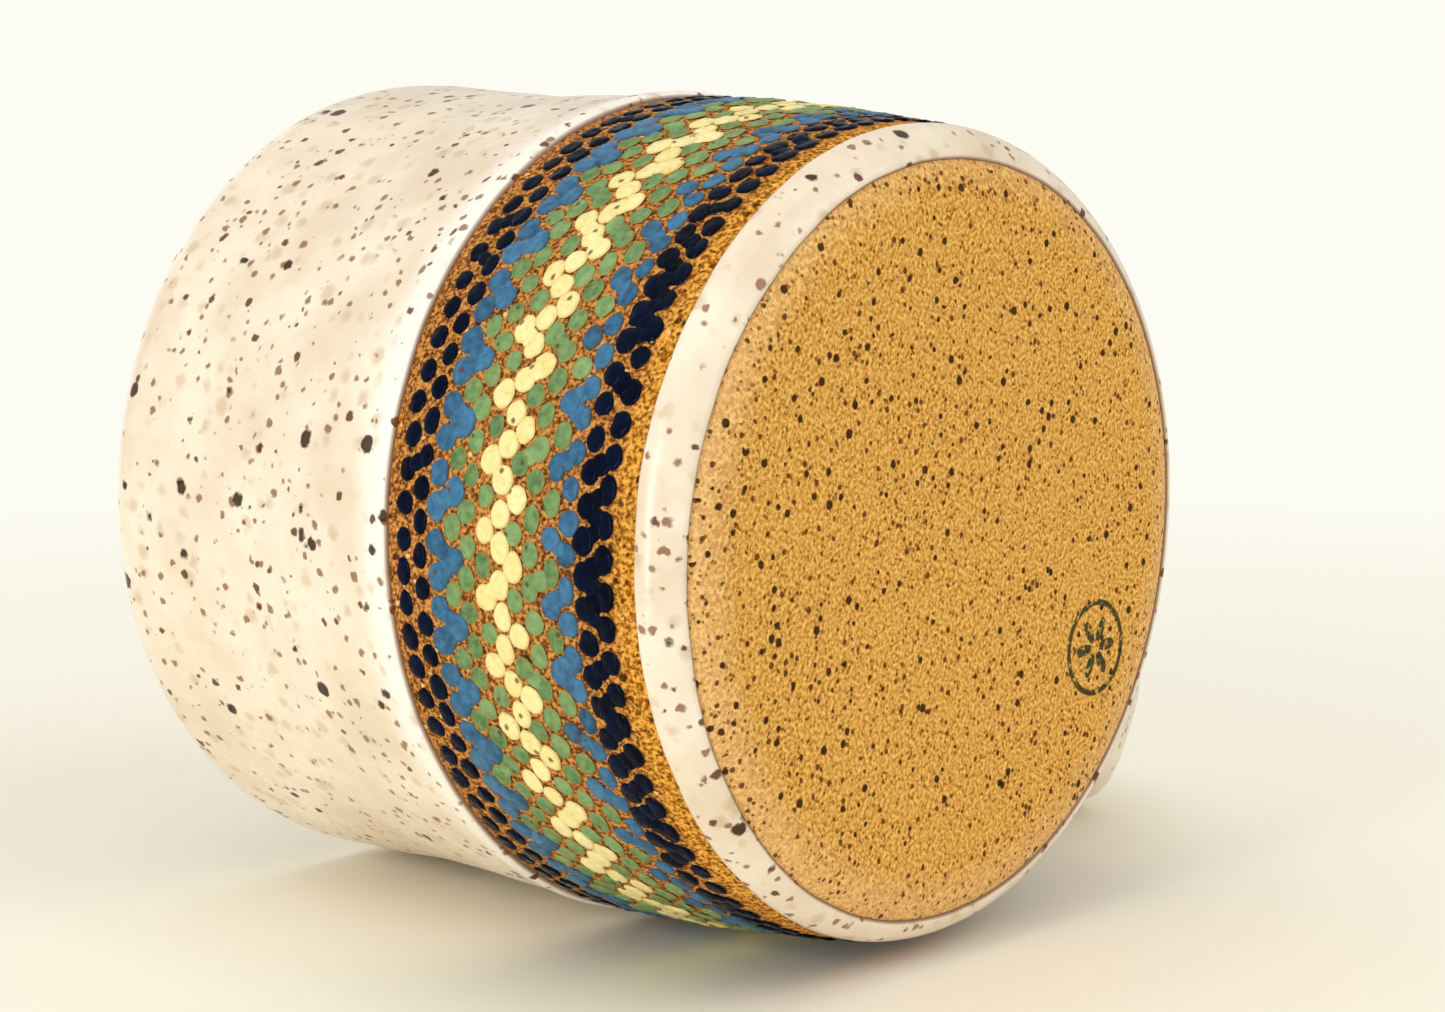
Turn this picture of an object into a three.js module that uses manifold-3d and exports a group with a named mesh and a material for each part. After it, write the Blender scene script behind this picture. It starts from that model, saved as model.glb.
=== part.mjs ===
// Stoneware mug with a band of raised slip dots.
// Millimetres. Origin at the centre of the foot's underside, +Z up the axis to the rim,
// +Y towards the handle.
import * as THREE from 'three';
import { LoftGeometry } from 'three/addons/geometries/LoftGeometry.js';
import { mergeVertices } from 'three/addons/utils/BufferGeometryUtils.js';
import Module from 'manifold-3d';

const wasm = await Module();
wasm.setup();

// ---- Dimensions ------------------------------------------------------------
const TURN = 56; // facets round every thrown surface
const CLEAR = 0.08; // air left between two coats that touch on the real mug
const CUT_CLEAR = 0.3; // air left where a curved piece is cut to fit another
const GLAZE = 0.4; // thickness of the glaze coat
const DOT_RISE = 0.3; // how far the slip dots stand out of the clay
const DOT_CLEAR = 0.16; // air left under a row of dots, whose facets cross those of the clay

const FLOOR_TOP = 6.4; // top of the clay floor inside
const FOOT_RADIUS = 40.0; // the underside's edge, where the foot glaze starts
const FOOT_RING_BOTTOM = 1.2;
const FOOT_RING_TOP = 5.2;
const BAND_TOP = 36.9; // lower edge of the outer glaze

// Outer face of the mug, glaze included, as [radius, height].
const OUTER = [
  [42.3, 3.2], [43.1, 5.2], [43.6, 9.2], [43.8, 13.2], [44.6, 21.2], [45.0, 29.2], [45.2, 37.2],
  [45.2, 46.0], [44.75, 58.6], [45.2, 71.0], [45.4, 79.2],
];
// Inner face of the clay wall.
const INNER = [
  [41.3, 78.5], [40.6, 63.0], [40.5, 28.0], [39.4, 16.0], [36.4, 9.8], [30.0, FLOOR_TOP + 0.4],
];
const LIP_CLAY = [[45.0, 80.4], [44.5, 81.8], [43.3, 82.5], [42.0, 81.9], [41.5, 80.6]];

// Slip dots: 13 columns from rim side to foot side; 84 turning points round the mug.
const COLUMN = [34.5, 32.0, 29.7, 27.6, 25.7, 23.4, 21.4, 19.5, 17.4, 15.1, 13.1, 11.0, 8.6];
const ZIGZAG_POINTS = 84;
const ROW_WIDTH = 2.2; // one zigzag row of dots, measured up the wall

// Handle: centre line in the YZ plane, with half width and half thickness of the strap there.
const HANDLE = [
  // y, z, half width, half thickness
  [40.0, 64.6, 12.6, 5.4],
  [46.0, 65.9, 12.2, 5.2],
  [52.0, 66.5, 11.4, 4.8],
  [64.0, 64.5, 10.8, 4.4],
  [74.0, 56.0, 10.5, 4.2],
  [78.3, 40.5, 10.5, 4.1],
  [73.6, 29.0, 10.3, 4.0],
  [64.0, 23.8, 10.2, 4.0],
  [52.0, 20.7, 10.4, 4.1],
  [46.0, 20.2, 10.8, 4.4],
  [40.0, 20.0, 11.2, 4.7],
];
const STRAP_ROUNDING = 2.8; // exponent of the strap's rounded section
const STRAP_POINTS = 16;
const STRAP_STEPS = 22;
const BARE_JOINT = 2.4; // clay left bare where the handle meets the dotted band
const JOINT_SPLIT = 42; // height between the handle's lower joint and its upper one
const REACH = 60; // half-space blocks are this big, larger than the mug's radius

// ---- Helpers ---------------------------------------------------------------
const group = new THREE.Group();
group.name = 'stoneware_mug';

function add(name, geometry, color, roughness) {
  const material = new THREE.MeshStandardMaterial({ color, roughness, metalness: 0 });
  material.name = name;
  const mesh = new THREE.Mesh(geometry, material);
  mesh.name = name;
  group.add(mesh);
}

// Radius of a [radius, height] profile at a height.
function radiusAt(profile, z) {
  const p = [...profile].sort((a, b) => a[1] - b[1]);
  if (z <= p[0][1]) return p[0][0];
  for (let i = 1; i < p.length; i++) {
    if (z <= p[i][1]) {
      const s = (z - p[i - 1][1]) / (p[i][1] - p[i - 1][1]);
      return p[i - 1][0] + s * (p[i][0] - p[i - 1][0]);
    }
  }
  return p[p.length - 1][0];
}

// Turn a closed [radius, height] outline round Z.
function turned(points) {
  const outline = points.map(([r, z]) => new THREE.Vector2(r, z));
  const geometry = new THREE.LatheGeometry(outline, TURN);
  geometry.rotateX(Math.PI / 2);
  return geometry;
}

function toManifold(geometry) {
  const plain = new THREE.BufferGeometry();
  plain.setAttribute('position', geometry.attributes.position);
  plain.setIndex(geometry.index);
  const g = mergeVertices(plain, 1e-4);
  const solid = new wasm.Manifold(
    new wasm.Mesh({
      numProp: 3,
      vertProperties: new Float32Array(g.attributes.position.array),
      triVerts: new Uint32Array(g.index.array),
    }),
  );
  return solid.volume() < 0 ? flipped(g) : solid;
}

function flipped(g) {
  const index = new Uint32Array(g.index.array);
  for (let i = 0; i < index.length; i += 3) [index[i + 1], index[i + 2]] = [index[i + 2], index[i + 1]];
  return new wasm.Manifold(
    new wasm.Mesh({
      numProp: 3,
      vertProperties: new Float32Array(g.attributes.position.array),
      triVerts: index,
    }),
  );
}

function toGeometry(solid) {
  const mesh = solid.getMesh();
  const geometry = new THREE.BufferGeometry();
  const positions = new Float32Array(mesh.numVert * 3);
  for (let i = 0; i < mesh.numVert; i++) {
    for (let k = 0; k < 3; k++) positions[3 * i + k] = mesh.vertProperties[mesh.numProp * i + k];
  }
  geometry.setAttribute('position', new THREE.BufferAttribute(positions, 3));
  geometry.setIndex(new THREE.BufferAttribute(new Uint32Array(mesh.triVerts), 1));
  geometry.computeVertexNormals();
  return geometry;
}

// The largest single body of a cut solid.
function largest(solid) {
  return solid.decompose().reduce((a, b) => (a.volume() > b.volume() ? a : b));
}

// ---- Thrown body -----------------------------------------------------------
// Bare clay: glazed zones sit a glaze coat below the finished face.
const clayOuter = [
  ...OUTER.filter(([, z]) => z < FOOT_RING_TOP).map(([r, z]) => [r - GLAZE - CLEAR, z]),
  [radiusAt(OUTER, FOOT_RING_TOP) - GLAZE - CLEAR, FOOT_RING_TOP],
  ...OUTER.filter(([, z]) => z > FOOT_RING_TOP && z < BAND_TOP),
  [radiusAt(OUTER, BAND_TOP), BAND_TOP - 0.6],
  [radiusAt(OUTER, BAND_TOP) - GLAZE - CLEAR, BAND_TOP + 0.4],
  ...OUTER.filter(([, z]) => z > BAND_TOP + 1).map(([r, z]) => [r - GLAZE - CLEAR, z]),
];
const clayProfile = [
  [0, 0], [35.5, 0], [36.5, 0.1], [38.6, 0.45], [FOOT_RADIUS, FOOT_RING_BOTTOM - 0.05],
  ...clayOuter, ...LIP_CLAY, ...INNER, [0, FLOOR_TOP],
];
const clayBody = toManifold(turned(clayProfile));
add('clay_body', toGeometry(clayBody), 0xa8693a, 0.85);

// ---- Glaze on the body -----------------------------------------------------
// A coat is a strip of face, offset outwards by the glaze thickness.
function coat(face, offset) {
  const inner = [];
  const outer = [];
  face.forEach(([r, z], i) => {
    const a = face[Math.max(i - 1, 0)];
    const b = face[Math.min(i + 1, face.length - 1)];
    const n = new THREE.Vector2(b[1] - a[1], a[0] - b[0]).normalize();
    if (r < 1e-6) n.set(0, 1);
    inner.push([r + n.x * CLEAR, z + n.y * CLEAR]);
    outer.push([r + n.x * (CLEAR + offset), z + n.y * (CLEAR + offset)]);
  });
  if (face[face.length - 1][0] === 0) return [...inner.reverse(), ...outer];
  return [...inner, ...outer.reverse(), inner[0]];
}
const lipTop = LIP_CLAY[2];
const upperFace = [
  [radiusAt(OUTER, BAND_TOP) - GLAZE - CLEAR, BAND_TOP + 0.6],
  ...OUTER.filter(([, z]) => z > BAND_TOP + 1).map(([r, z]) => [r - GLAZE - CLEAR, z]),
  ...LIP_CLAY.slice(0, 2),
  [lipTop[0] + 0.25, lipTop[1] - 0.15],
];
const linerFace = [[lipTop[0] - 0.2, lipTop[1] - 0.12], ...LIP_CLAY.slice(3), ...INNER, [0, FLOOR_TOP]];
const footFace = [
  [FOOT_RADIUS + 0.05, FOOT_RING_BOTTOM + 0.05],
  ...OUTER.filter(([, z]) => z < FOOT_RING_TOP).map(([r, z]) => [r - GLAZE - CLEAR, z]),
  [radiusAt(OUTER, FOOT_RING_TOP) - GLAZE - CLEAR, FOOT_RING_TOP - 0.1],
];

// ---- Handle ----------------------------------------------------------------
const handleCurve = new THREE.CatmullRomCurve3(
  HANDLE.map(([y, z]) => new THREE.Vector3(0, y, z)), false, 'centripetal',
);

// A rounded strap swept along the handle's centre line, grown by a margin.
function strap(margin) {
  const sections = [];
  const steps = HANDLE.length - 1;
  for (let i = 0; i <= STRAP_STEPS; i++) {
    const t = i / STRAP_STEPS;
    const k = Math.min(Math.floor(t * steps), steps - 1);
    const s = t * steps - k;
    const halfWidth = HANDLE[k][2] + s * (HANDLE[k + 1][2] - HANDLE[k][2]) + margin;
    const halfThick = HANDLE[k][3] + s * (HANDLE[k + 1][3] - HANDLE[k][3]) + margin;
    const centre = handleCurve.getPoint(t);
    const along = handleCurve.getTangent(t);
    const across = new THREE.Vector3(0, along.z, -along.y);
    const ring = [];
    for (let j = 0; j < STRAP_POINTS; j++) {
      const a = (j / STRAP_POINTS) * Math.PI * 2;
      const c = Math.sign(Math.cos(a)) * Math.abs(Math.cos(a)) ** (2 / STRAP_ROUNDING);
      const d = Math.sign(Math.sin(a)) * Math.abs(Math.sin(a)) ** (2 / STRAP_ROUNDING);
      ring.push(
        centre.clone().addScaledVector(across, halfThick * d).add(new THREE.Vector3(halfWidth * c, 0, 0)),
      );
    }
    sections.push(ring);
  }
  return toManifold(new LoftGeometry(sections, { capStart: true, capEnd: true }));
}

// A solid drum that follows the outside of the mug at a distance.
const DRUM_TOP = 92;
function drum(distance) {
  const side = [[radiusAt(OUTER, FOOT_RING_TOP), 0], ...OUTER.filter(([, z]) => z > FOOT_RING_TOP)];
  return toManifold(
    turned([[0, -1], ...side.map(([r, z]) => [r + distance, z]), [OUTER.at(-1)[0] + distance, DRUM_TOP], [0, DRUM_TOP]]),
  );
}
const handleCore = strap(0);
const handleSkin = strap(CLEAR + GLAZE).subtract(strap(CLEAR));
const aboveBand = wasm.Manifold.cube([REACH, REACH, REACH]).translate([-REACH / 2, 30, JOINT_SPLIT]);
const belowBand = wasm.Manifold.cube([REACH, REACH, JOINT_SPLIT]).translate([-REACH / 2, 30, 0]);
const handleClay = handleCore
  .subtract(drum(CLEAR + DOT_RISE).intersect(belowBand).add(drum(-GLAZE).intersect(aboveBand)));
const handleGlaze = handleSkin
  .subtract(drum(BARE_JOINT).intersect(belowBand).add(drum(CUT_CLEAR).intersect(aboveBand)));
add('handle', toGeometry(largest(handleClay)), 0xa8693a, 0.85);
add('handle_glaze', toGeometry(largest(handleGlaze)), 0xede3d8, 0.3);

// The outer coat leaves a window where the handle is joined on under the glaze.
const upperGlaze = toManifold(turned(coat(upperFace, GLAZE))).subtract(strap(CLEAR + GLAZE / 2));
add('upper_glaze', toGeometry(largest(upperGlaze)), 0xede3d8, 0.3);
add('liner_glaze', toGeometry(toManifold(turned(coat(linerFace, GLAZE)))), 0xefe6da, 0.3);
add('foot_glaze_ring', toGeometry(toManifold(turned(coat(footFace, GLAZE)))), 0xefe6da, 0.3);

// ---- Slip dots -------------------------------------------------------------
// Each row of dots of one colour is a zigzag strip lying on the clay.
const joint = strap(CUT_CLEAR);
function dotRow(zPeak, zValley) {
  const sections = [];
  for (let i = 0; i < ZIGZAG_POINTS; i++) {
    const a = ((i + 0.5) / ZIGZAG_POINTS) * Math.PI * 2;
    const z = i % 2 ? zValley : zPeak;
    const ring = [];
    for (const [side, rise] of [[-1, 0], [-1, DOT_RISE], [1, DOT_RISE], [1, 0]]) {
      const h = z + (side * ROW_WIDTH) / 2;
      const r = radiusAt(OUTER, h) + DOT_CLEAR + rise;
      ring.push(new THREE.Vector3(r * Math.cos(a), r * Math.sin(a), h));
    }
    sections.push(ring);
  }
  const points = sections.flat();
  const index = [];
  for (let i = 0; i < ZIGZAG_POINTS; i++) {
    const j = (i + 1) % ZIGZAG_POINTS;
    for (let k = 0; k < 4; k++) {
      const l = (k + 1) % 4;
      index.push(4 * i + k, 4 * j + k, 4 * j + l, 4 * i + k, 4 * j + l, 4 * i + l);
    }
  }
  const geometry = new THREE.BufferGeometry();
  geometry.setAttribute('position', new THREE.Float32BufferAttribute(points.flatMap((p) => [p.x, p.y, p.z]), 3));
  geometry.setIndex(index);
  return largest(toManifold(geometry).subtract(joint));
}
const ROWS = [
  ['navy_dots_upper', COLUMN[0], COLUMN[1], 0x1c2a55],
  ['blue_dots_upper', COLUMN[2] + 0.9, COLUMN[2] - 0.7, 0x3e74b4],
  ['green_dots_upper', COLUMN[3], COLUMN[5], 0x5e9f68],
  ['yellow_dots', COLUMN[5], COLUMN[7], 0xf0ec9c],
  ['green_dots_lower', COLUMN[7], COLUMN[9], 0x5e9f68],
  ['blue_dots_lower', COLUMN[9] - 0.2, COLUMN[10] - 0.9, 0x3e74b4],
  ['navy_dots_lower', COLUMN[11], COLUMN[12], 0x0b1233],
];
for (const [name, peak, valley, color] of ROWS) add(name, toGeometry(dotRow(peak, valley)), color, 0.3);

export default group;
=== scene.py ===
# %% [markdown]
# # A stoneware mug with a band of raised slip dots
# The mug is thrown from iron-bearing stoneware, glazed in speckled cream, and left bare in a broad
# band that carries rows of coloured slip dots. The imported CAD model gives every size; this lesson
# puts finely made pieces and finishes in the same places. The frame has its origin under the foot,
# +Z up to the rim and +Y towards the handle.

# %% Load the frame
import math
import random

import bmesh
import bpy
import numpy as np
from mathutils import Matrix, Vector


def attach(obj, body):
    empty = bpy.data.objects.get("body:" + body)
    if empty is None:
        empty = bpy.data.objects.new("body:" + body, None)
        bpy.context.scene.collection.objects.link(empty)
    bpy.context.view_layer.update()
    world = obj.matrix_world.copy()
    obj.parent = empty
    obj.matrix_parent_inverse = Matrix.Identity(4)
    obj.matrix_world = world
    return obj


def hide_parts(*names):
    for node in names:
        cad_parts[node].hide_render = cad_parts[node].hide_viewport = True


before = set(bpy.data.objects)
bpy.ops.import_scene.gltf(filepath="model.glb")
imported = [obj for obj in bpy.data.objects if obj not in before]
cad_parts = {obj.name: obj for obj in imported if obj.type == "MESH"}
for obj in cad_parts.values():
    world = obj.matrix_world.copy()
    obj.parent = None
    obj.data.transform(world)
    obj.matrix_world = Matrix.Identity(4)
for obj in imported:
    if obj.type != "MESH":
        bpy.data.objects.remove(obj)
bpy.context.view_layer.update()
MM = 0.001
print("CAD nodes:", sorted(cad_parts))

# %% [markdown]
# ## Small helpers
# Colours are written as sRGB hex, as a paint chart gives them, and turned to linear light once.
# One helper adds any node with its settings, its values and its links. Inputs without a name of
# their own go by number. In a Map Range 0 is the value, 1 and 2 are the range it comes from, and 3
# and 4 the range it becomes. In a colour Mix 0 is the share, and 6 and 7 are the two colours.

# %% Colour, node and object helpers


def linear(hex_colour):
    """sRGB hex to a linear RGBA colour."""
    parts = [int(hex_colour[i:i + 2], 16) / 255 for i in (1, 3, 5)]
    return [p / 12.92 if p <= 0.04045 else ((p + 0.055) / 1.055) ** 2.4 for p in parts] + [1.0]


def put(tree, kind, values=None, **settings):
    """Adds one node. Values go to its inputs by name or number. A socket makes a link, and a node
    stands for its first socket in use."""
    made = tree.nodes.new(kind)
    for key, value in settings.items():
        setattr(made, key, value)
    for key, value in (values or {}).items():
        if isinstance(value, bpy.types.Node):
            value = next(s for s in value.outputs if s.enabled)
        if isinstance(value, bpy.types.NodeSocket):
            tree.links.new(value, made.inputs[key])
        else:
            made.inputs[key].default_value = value
    return made


def add_object(name, data):
    """Puts an object with this data into the scene."""
    made = bpy.data.objects.new(name, data)
    bpy.context.collection.objects.link(made)
    return made


# %% [markdown]
# ## Where the mug lies and where the eye is
# The mug is modelled standing, but it is looked at lying on its side, foot towards the eye. Turning
# the mug would break the link with its CAD frame, so the eye goes round it instead: `down` points
# from the mug's axis to the table it lies on, `side` points from the axis towards the eye's side of
# the wall, and the third direction is the mug's own axis. The eye looks up at the foot from below.

# %% Camera
LIE_ANGLE = math.radians(153.0)  # which side of the wall is down, from +X towards +Y
down = Vector((math.cos(LIE_ANGLE), math.sin(LIE_ANGLE), 0))
side = Vector((-math.sin(LIE_ANGLE), math.cos(LIE_ANGLE), 0))
axis = Vector((0, 0, 1))


def lying(along_down, along_side, along_axis):
    """A place or a direction given in the lying mug's three directions."""
    return down * along_down + side * along_side + axis * along_axis


eye_forward = lying(0.1314, -0.7388, 0.6609).normalized()
eye_right = lying(0, -0.6667, -0.7453)
eye_right = (eye_right - eye_forward * eye_right.dot(eye_forward)).normalized()
eye_up = eye_right.cross(eye_forward)
eye_place = lying(-40.3, 227.8, -171.1) * MM
camera_data = bpy.data.cameras.new("camera")
camera_data.sensor_width = 36.0
camera_data.lens = 69.8
camera_data.clip_start, camera_data.clip_end = 0.01, 20
camera = add_object("camera", camera_data)
eye_turn = Matrix((eye_right, eye_up, -eye_forward)).transposed().to_4x4()
camera.matrix_world = Matrix.Translation(eye_place) @ eye_turn
bpy.context.scene.camera = camera
bpy.context.scene.view_settings.view_transform = "Standard"
print("camera at", [round(c, 3) for c in camera.location])

# %% [markdown]
# ## One way of building every shell
# A thrown pot and a pulled handle are both a line of rings. `shell` takes the rings as an array,
# closes each ring, joins neighbours with quads, merges what meets on an axis, and then turns the
# faces outwards, in that order, so that no pole or seam is left open.

# %% Ring shells
MERGE_GAP = 1e-6  # points nearer than this, in metres, become one


def shell(name, rings, loop=False, from_edge=None):
    """A closed mesh from rings[k][j]; with loop the last ring joins the first. from_edge is a
    distance in millimetres kept on each point for the finish to read."""
    count, around = rings.shape[:2]
    points = rings.reshape(-1, 3) * MM
    k = np.arange(count if loop else count - 1)[:, None]
    j = np.arange(around)[None, :]
    here, there = k * around, (k + 1) % count * around
    nxt = (j + 1) % around
    faces = np.stack([here + j, here + nxt, there + nxt, there + j], -1).reshape(-1, 4)
    mesh = bpy.data.meshes.new(name)
    mesh.from_pydata(points.tolist(), [], faces.tolist())
    if from_edge is not None:
        kept = mesh.attributes.new("from_edge", "FLOAT", "POINT")
        kept.data.foreach_set("value", np.asarray(from_edge, np.float32).ravel())
    work = bmesh.new()
    work.from_mesh(mesh)
    bmesh.ops.remove_doubles(work, verts=work.verts, dist=MERGE_GAP)
    bmesh.ops.recalc_face_normals(work, faces=work.faces)
    work.to_mesh(mesh)
    work.free()
    mesh.shade_smooth()
    print(name, len(mesh.polygons), "faces")
    return add_object(name, mesh)


def smooth_line(points, step):
    """A round curve through the points, with a new point about every step millimetres."""
    p = np.array(points, float)
    p = np.vstack([2 * p[0] - p[1], p, 2 * p[-1] - p[-2]])
    line = []
    for a, b, c, d in zip(p[:-3], p[1:-2], p[2:-1], p[3:]):
        ta, tb, tc = [max(np.linalg.norm(v[:2]), 1e-6) ** 0.5 for v in (b - a, c - b, d - c)]
        m1 = (c - b) / tb - (c - a) / (ta + tb) + (b - a) / ta
        m2 = (c - b) / tb - (d - b) / (tb + tc) + (d - c) / tc
        m1, m2 = m1 * tb, m2 * tb
        for t in np.arange(0, 1, 1 / max(1, round(np.linalg.norm((c - b)[:2]) / step))):
            line.append(
                b * (2 * t**3 - 3 * t**2 + 1) + m1 * (t**3 - 2 * t**2 + t)
                + c * (3 * t**2 - 2 * t**3) + m2 * (t**3 - t**2)
            )
    return np.array(line + [p[-2]])


# %% [markdown]
# ## The thrown clay body
# The potter opens a lump of clay on the wheel and pulls up the wall, so every level is a circle, but
# a hand-made one: the wall wanders by some tenths of a millimetre, and one side of it leans, by a
# millimetre or two from foot to rim. The outline is one line from under the foot, round the bevelled
# heel, up the wall, over the lip and down to the floor.

# %% Clay body
AROUND = 256  # points round every thrown ring
BAND_TOP = 36.9  # the bare band's edges, as heights in millimetres
BAND_BOTTOM = 5.2
CUP_FLOOR = 6.4  # height of the clay floor inside
CLAY_STEP = 0.7  # distance between rings
clay_line = smooth_line(
    [
        (0, 0), (20, 0), (34.0, 0), (35.6, 0.02), (37.0, 0.14), (38.7, 0.5), (40.0, 1.2),
        (42.0, 3.2), (42.75, BAND_BOTTOM), (43.5, 9.2), (43.85, 13.2), (44.6, 21.2), (45.0, 29.2),
        (45.1, 35.5), (44.9, 37.6), (44.75, 46.0), (44.3, 58.6), (44.75, 71.0), (44.95, 79.4),
        (44.7, 81.1), (44.2, 82.0), (43.2, 82.4), (42.2, 82.0), (41.6, 80.9), (41.3, 78.5),
        (40.6, 63.0), (40.5, 45.0), (40.5, 28.0), (39.4, 16.0), (36.4, 9.8), (30.0, 6.9),
        (20.0, CUP_FLOOR), (0, CUP_FLOOR),
    ],
    CLAY_STEP,
)
clay_line[:, 1] = np.maximum(clay_line[:, 1], 0)
angles = np.linspace(0, 2 * math.pi, AROUND, endpoint=False)
upper_side = np.cos(angles - LIE_ANGLE - math.pi)  # 1 on the side that is up when the mug lies


def breathing(angle, height):
    """How far the wall wanders from a true circle, in millimetres."""
    up = angle - LIE_ANGLE - math.pi  # the side that is up when the mug lies down
    slow = -0.4 * np.cos(up) - 0.2 * (1 + np.cos(2 * up)) + 0.09 * np.cos(3 * angle - height / 26)
    # the side that is up leans in near the foot and out near the rim
    lean = (height / 30 - 1.1) * np.clip(np.cos(up), 0, 1) ** 2
    return slow + lean + 0.05 * np.sin(height / 1.9 + angle) * np.clip(height / 10, 0, 1)


def thrown(outline):
    """Rings in space from an outline of (radius, height), the same or one for each angle."""
    radius, height = outline[..., 0], outline[..., 1]
    if outline.ndim == 2:
        radius, height = radius[:, None], height[:, None]
    a = angles[None, :]
    out = radius + breathing(a, height) * np.clip(radius / 30, 0, 1)
    flat = np.broadcast_to(height, out.shape)
    return np.stack([out * np.cos(a), out * np.sin(a), flat], -1)


clay_body = shell("thrown_clay_body", thrown(clay_line))

# %% [markdown]
# ## Glaze coats
# Glaze is a glassy skin less than half a millimetre thick. It melts and pulls back from its edge in a
# thick soft roll before it thins out, and that roll catches the light. A coat follows the clay line
# between two places, with its own wavy edges, and dips into the clay so that no gap shows.

# %% Coats over the clay
COAT = 0.42  # thickness of the glaze
DIP = 0.12  # how far a coat reaches into the clay
SUNK = 0.03  # how far its outer face sits below its full thickness
EDGE_WIDTH = 0.7  # width of the rounding at its edge
ROLL_PLACE, ROLL_WIDTH = 1.4, 1.7  # where the thick roll stands behind the edge, and how wide it is
FAR_FROM_EDGE = 99.0  # from_edge where a coat has no edge to see
FINE_ZONE = np.concatenate([np.linspace(0, 1.2, 9), np.arange(1.8, 8, 0.8)])  # rings near an edge
clay_run = np.concatenate([[0], np.cumsum(np.hypot(*np.diff(clay_line, axis=0).T))])
tangent = np.gradient(clay_line, axis=0)
tangent /= np.linalg.norm(tangent, axis=1)[:, None]
outward = np.stack([tangent[:, 1], -tangent[:, 0]], -1)
wall_top = int(np.argmax(clay_line[:, 1]))


def run_at(height):
    """Distance along the clay line at a height of the outer wall."""
    return float(np.interp(height, clay_line[:wall_top, 1], clay_run[:wall_top]))


def on_clay(run):
    """The places at these distances along the clay line, and the directions out of the clay."""
    return [
        np.stack([np.interp(run, clay_run, line[:, i]) for i in (0, 1)], -1)
        for line in (clay_line, outward)
    ]


def wave(angle, seed, size):
    """A hand-drawn unevenness round the mug."""
    draw = random.Random(seed)
    total = 0 * angle
    for turns in (2, 3, 5, 8, 13, 21, 34):
        total = total + np.cos(turns * angle + draw.uniform(0, 6.3)) * draw.uniform(0.5, 1) / turns**0.5
    return total * size


def coat(name, start, end, start_edge, end_edge, start_tilt, roll):
    """A glaze skin between two runs along the clay line. An edge is its waviness, and the end's is
    None if it is hidden. start_tilt is how the first edge leans, for each angle."""
    first = start + (wave(angles, 7, start_edge) + start_tilt)
    last = end + (wave(angles, 11, end_edge) + 0.5 * upper_side if end_edge else 0 * angles)
    length = end - start
    near = FINE_ZONE[FINE_ZONE < length / 2]
    middle = np.arange(8.4, length - 8.2, 1.2)  # none on a short coat
    share = np.concatenate([near, middle, length - near[::-1]]) / length
    run = first[None, :] + share[:, None] * (last - first)[None, :]
    from_first, from_last = run - first, last - run
    rise = np.full(run.shape, COAT)
    for distance, edge in ((from_first, start_edge), (from_last, end_edge)):
        thinned = np.sqrt(np.clip(1 - (1 - np.clip(distance / EDGE_WIDTH, 0, 1)) ** 2, 0, 1))
        swell = 1 + roll * np.exp(-((distance - ROLL_PLACE) / ROLL_WIDTH) ** 2) if edge else 1
        rise = rise * thinned * swell
    place, normal = on_clay(run)
    over = place + normal * (rise[..., None] - SUNK)
    under = place - normal * DIP
    from_edge = np.minimum(from_first, from_last if end_edge else FAR_FROM_EDGE)
    return shell(
        name, thrown(np.concatenate([over, under[::-1]])), loop=True,
        from_edge=np.concatenate([from_edge, from_edge[::-1]]),
    )


lip_run = float(clay_run[wall_top])
upper_glaze = coat(
    "outer_glaze_coat", run_at(BAND_TOP), lip_run + 1.0, 0.15, None, 0.5 * upper_side, 1.1
)
foot_glaze_ring = coat(
    "foot_glaze_coat", run_at(1.0), run_at(BAND_BOTTOM), 0.13, 0.14, 0.35 * (1 - upper_side), 0.5
)

# %% [markdown]
# The liner glaze is poured in, swirled and poured out, so it covers the floor without an edge and
# meets the outer coat at the lip, where the two melt together.

# %% Liner glaze
liner_runs = np.concatenate(
    [lip_run + np.linspace(-1.0, 3, 15), np.arange(lip_run + 3.8, clay_run[-1], 1.0)]
)
liner_place, liner_normal = on_clay(liner_runs)
LINER_RISE = COAT + 0.01 - SUNK  # a hair over the outer coat, so that the two don't flicker
hidden_start = np.clip(1 - (liner_runs - liner_runs[0]) / EDGE_WIDTH, 0, 1)
liner_rise = LINER_RISE - 0.5 * hidden_start
liner_top = liner_place + liner_normal * liner_rise[:, None]
liner_under = liner_place - liner_normal * DIP
liner_line = np.concatenate(
    [[[0, CUP_FLOOR - DIP]], liner_under[::-1], liner_top, [[0, CUP_FLOOR + LINER_RISE]]]
)
liner_rings = thrown(liner_line)
liner_glaze = shell(
    "liner_glaze_coat", liner_rings, from_edge=np.full(liner_rings.shape[:2], FAR_FROM_EDGE)
)

# %% [markdown]
# ## The pulled handle
# A handle is pulled from a carrot of wet clay into a strap, bent into a C, and its two ends are
# smeared onto the wall, so it swells where it joins. Its cross-section is a rounded strap, swept along
# a centre line that lies in the plane through the mug's axis. The glaze is a sleeve on the strap that
# stops short of the bare band, so a collar of clay shows at the lower joint.

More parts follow.
